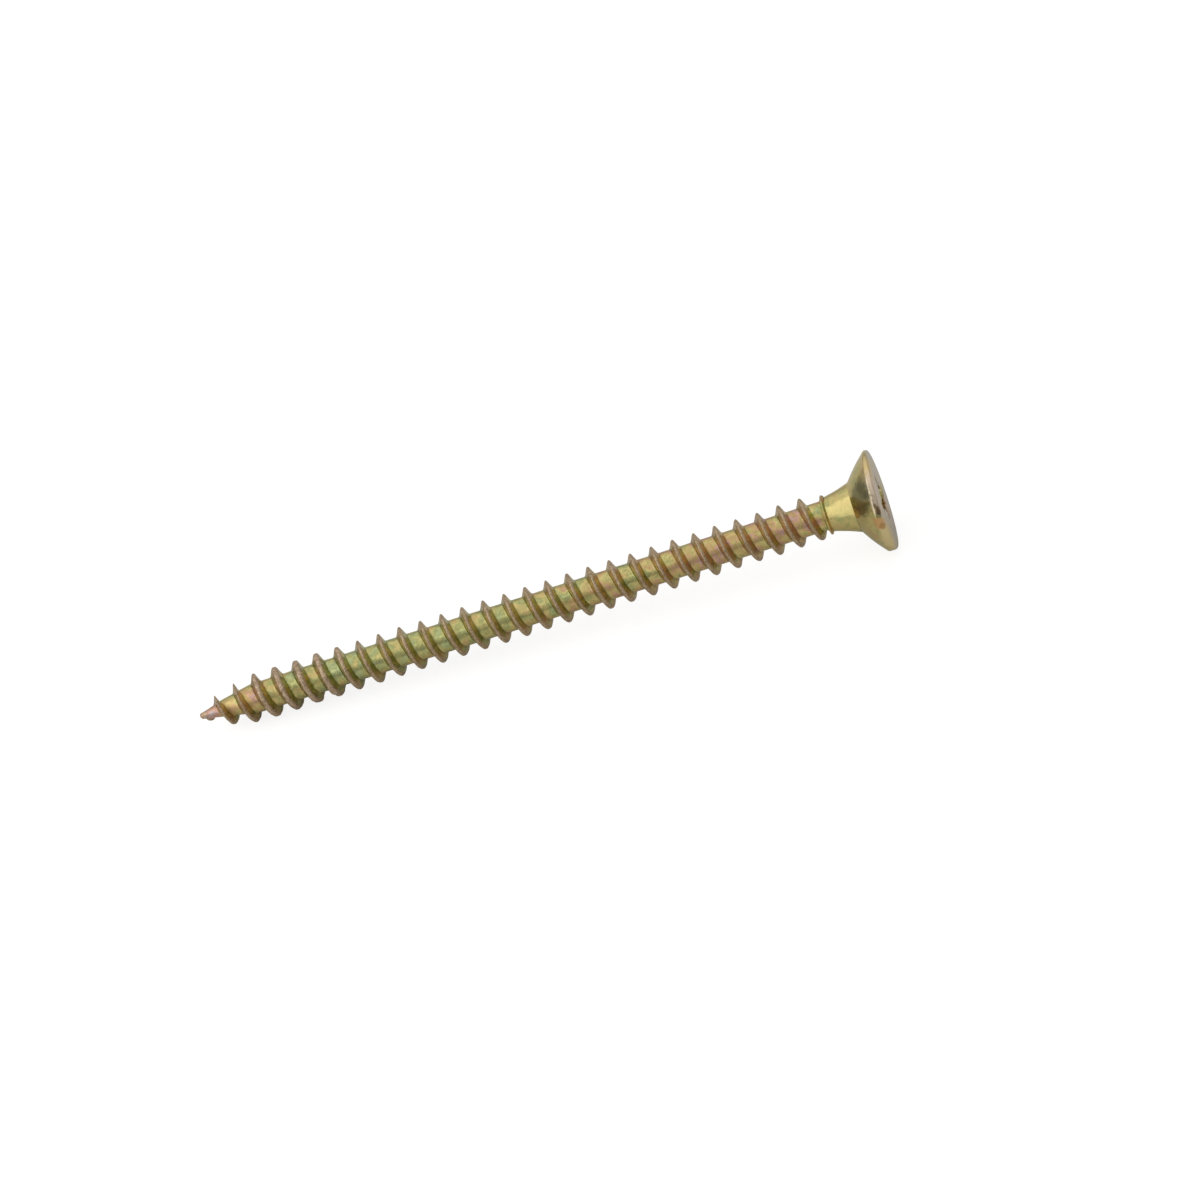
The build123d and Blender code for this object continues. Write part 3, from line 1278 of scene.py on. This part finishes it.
@dataclass
class Studio:
    """A pale table under a wide soft light."""

    head_radius: float
    tip_contact: float = -1.975 * MM
    head_contact_x: float = -0.3 * MM
    tip_contact_x: float = -55.0 * MM
    table_size: float = 8.0
    paper: Triple = (0.76, 0.75, 0.73)
    near_tent: tuple[tuple[float, float], ...] = (
        (0.00, 0.26),
        (0.18, 0.28),
        (0.36, 0.40),
        (0.64, 0.50),
        (0.90, 0.60),
        (1.00, 0.78),
    )
    far_tent: tuple[tuple[float, float], ...] = (
        (0.00, 0.30),
        (0.18, 0.42),
        (0.36, 0.62),
        (0.64, 0.78),
        (0.90, 0.84),
        (1.00, 0.82),
    )

    def table(self) -> Object:
        """Makes the table that the screw lies on.

        Returns:
            The table top.
        """
        mesh = bmesh.new()
        bmesh.ops.create_grid(mesh, x_segments=8, y_segments=8, size=self.table_size / 2)
        rise = self.tip_contact + self.head_radius
        slope = atan2(rise, self.head_contact_x - self.tip_contact_x)
        bmesh.ops.rotate(mesh, verts=mesh.verts[:], matrix=Matrix.Rotation(slope, 3, "Y"))
        shift = Vector((self.head_contact_x, 0, -self.head_radius))
        bmesh.ops.translate(mesh, verts=mesh.verts[:], vec=shift)
        table = link_mesh(mesh, "table")
        table.data.materials.append(self.table_paper())
        return table

    def table_paper(self) -> Material:
        """White paper that keeps only a breath of the contact shadow."""
        made = bpy.data.materials.new("table_paper")
        graph = fresh_graph(made)
        paper = graph.node("BsdfDiffuse", {"Color": (*self.paper, 1.0)})
        seen = graph.node("BsdfDiffuse", {"Color": (0.35, 0.35, 0.35, 1.0)})
        glow = graph.node("Emission", {"Color": (1, 1, 1, 1), "Strength": 0.82})
        bright = graph.node("AddShader", {0: seen.outputs[0], 1: glow.outputs[0]})
        direct = graph.node("LightPath").outputs["Is Camera Ray"]
        sides = {0: direct, 1: paper.outputs[0], 2: bright.outputs[0]}
        graph.node("OutputMaterial", {"Surface": graph.node("MixShader", sides).outputs[0]})
        return made

    def world(self) -> None:
        """Makes the room: a bright tent overhead that falls off towards the horizon."""
        made = bpy.data.worlds.new("studio")
        graph = fresh_graph(made)
        direction = graph.node("TexCoord").outputs["Generated"]
        split = graph.node("SeparateXYZ", {0: direction})
        near, far = (
            graph.ramp(split.outputs["Z"], [(place, (value,) * 3) for place, value in tent])
            for tent in (self.near_tent, self.far_tent)
        )
        tent = graph.mix(graph.range(split.outputs["Y"], -0.1, 0.5, 0.0, 1.0), near, far)
        direct = graph.node("LightPath").outputs["Is Camera Ray"]
        seen = graph.mix(direct, tent, (1.0, 1.0, 1.0, 1.0))
        light = graph.node("Background", {"Color": seen, "Strength": 1.0})
        graph.node("OutputWorld", {"Surface": light.outputs[0]})
        bpy.context.scene.world = made

    def panel(
        self, name: str, place: Triple, size: tuple[float, float], watts: float
    ) -> Object:
        """Hangs a rectangular light panel that faces the screw.

        Args:
            name: the light's name.
            place: its centre.
            size: its width and height.
            watts: its power.

        Returns:
            The light.
        """
        data = bpy.data.lights.new(name, "AREA")
        data.shape = "RECTANGLE"
        data.size, data.size_y = size
        data.energy = watts
        light = bpy.data.objects.new(name, data)
        middle = Vector((-30 * MM, 0, 0))
        where = Vector(place)
        light.location = where
        light.rotation_euler = (middle - where).to_track_quat("-Z", "Y").to_euler()
        bpy.context.scene.collection.objects.link(light)
        return light

    def build(self) -> None:
        """Sets up the table, the room and the lights."""
        bpy.context.scene.view_settings.view_transform = "Standard"
        self.table()
        self.world()
        self.panel("left_panel", (-0.68, -0.32, 0.48), (1.1, 1.1), 2.3)


def main() -> None:
    """Builds the screw and its studio."""
    logging.basicConfig(level=logging.INFO, format="%(name)s: %(message)s")
    head_low, head_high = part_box("head")
    neck_low, neck_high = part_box("neck")
    core_low, core_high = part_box("shank_core")
    point_low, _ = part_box("point")
    _, thread_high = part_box("thread")

    effects = Effects(
        PlatingHues().build(),
        WarmthDrift(head_high.x - point_low.x).build(),
        RibWearAndShade().build(),
        SurfaceMark.build(),
    )

    shank = ThreadedShank(
        tip=point_low.x,
        shoulder=core_low.x,
        ring_foot=neck_low.x - SET_BACK,
        core_radius=core_high.z,
        crest_radius=thread_high.z,
    )
    piece = shank.build()
    shank.dress(piece, PlatedFinish("plated_thread", effects, rib_wear_and_shade=True))

    head = Head(
        face=head_high.x, crease=head_low.x, radius=head_high.z, crease_radius=neck_high.z
    )
    neck = Neck(
        foot=shank.ring_foot + shank.ring_width,
        top=head_low.x,
        foot_radius=shank.neck_root_radius,
        top_radius=neck_high.z,
        top_shift=head.shift,
    )
    neck.dress(
        neck.build(),
        PlatedFinish(
            "plated_neck", effects, smoothest=0.16, roughest=0.28, dents=0.3, contrast=0.45
        ),
    )

    head.dress(
        head.build(),
        PlatedFinish(
            "plated_head",
            effects,
            smoothest=0.10,
            roughest=0.20,
            dents=0.35,
            contrast=0.45,
            dulling=(0.68, 0.62, 0.60),
            surface_marks=HEAD_STAINS_AND_SHADE,
        ),
    )

    Studio(head_radius=head_high.z).build()
    Camera().build()


if __name__ == "__main__":
    main()
